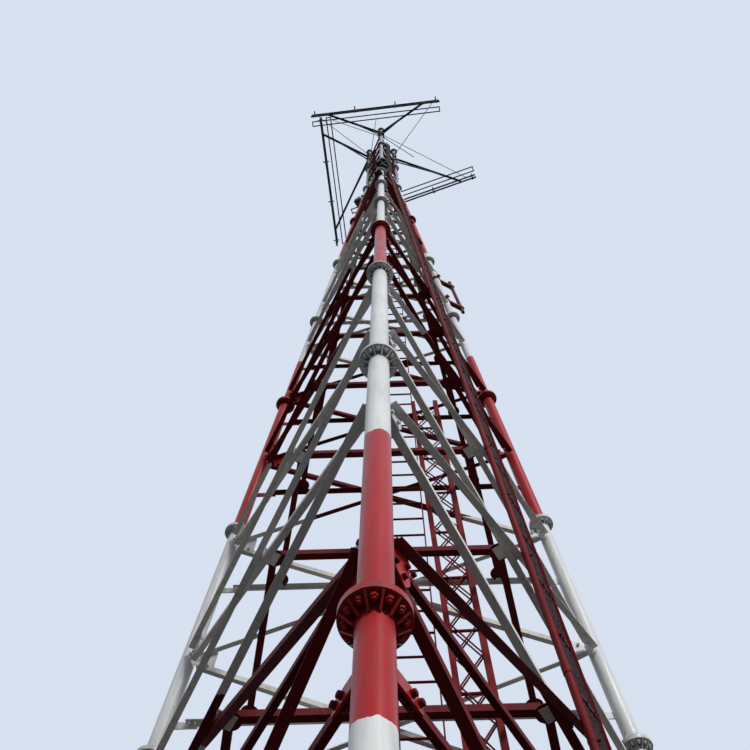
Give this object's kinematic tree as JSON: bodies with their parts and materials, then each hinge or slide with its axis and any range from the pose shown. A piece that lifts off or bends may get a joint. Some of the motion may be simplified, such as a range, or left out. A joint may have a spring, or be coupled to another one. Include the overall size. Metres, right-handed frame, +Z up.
{
  "type": "radio mast",
  "caption": "Self-supporting triangular lattice mast of flanged tube legs and angle bracing, with ladders, a cable tray and aerial frames at its head.",
  "frame": {"origin": "centre of the underside of the front leg's base plate", "axes": "+Z up, +Y from the front leg towards the back face, +X towards the right leg"},
  "size_m": [5.4731, 5.836, 30.0093],
  "materials": {
    "leg_paint": "matt paint in red and white bands, weathered",
    "brace_paint": "matt paint in red and white bands, weathered",
    "plan_paint": "matt red paint, weathered",
    "ladder_paint": "matt red paint, weathered",
    "tray_paint": "matt red paint",
    "head_galvanized": "dull galvanized steel",
    "frame_galvanized": "dull galvanized steel",
    "box_grey": "satin grey paint",
    "cable_jacket": "matt black jacket"
  },
  "bodies": {
    "root": {"front_leg_1": "leg_paint", "front_leg_2": "leg_paint", "front_leg_3": "leg_paint", "front_leg_4": "leg_paint", "front_leg_head": "head_galvanized", "left_leg_1": "leg_paint", "left_leg_2": "leg_paint", "left_leg_3": "leg_paint", "left_leg_4": "leg_paint", "left_leg_head": "head_galvanized", "right_leg_1": "leg_paint", "right_leg_2": "leg_paint", "right_leg_3": "leg_paint", "right_leg_4": "leg_paint", "right_leg_head": "head_galvanized", "left_base_bracing": "brace_paint", "left_face_lower": "brace_paint", "left_face_upper": "brace_paint", "left_face_head": "head_galvanized", "right_base_bracing": "brace_paint", "right_face_lower": "brace_paint", "right_face_upper": "brace_paint", "right_face_head": "head_galvanized", "back_base_bracing": "brace_paint", "back_face_lower": "brace_paint", "back_face_upper": "brace_paint", "back_face_head": "head_galvanized", "plan_bracing_lower": "plan_paint", "plan_bracing_upper": "plan_paint", "ladder_lower": "ladder_paint", "ladder_upper": "ladder_paint", "ladder_head": "ladder_paint", "feeder_ladder": "ladder_paint", "cable_tray": "tray_paint", "feeder_cables": "cable_jacket", "conduit": "tray_paint", "front_sector_frame": "frame_galvanized", "left_sector_frame": "frame_galvanized", "rear_sector_frame": "frame_galvanized", "side_mount": "frame_galvanized", "leg_box": "box_grey"}
  },
  "joints": []
}
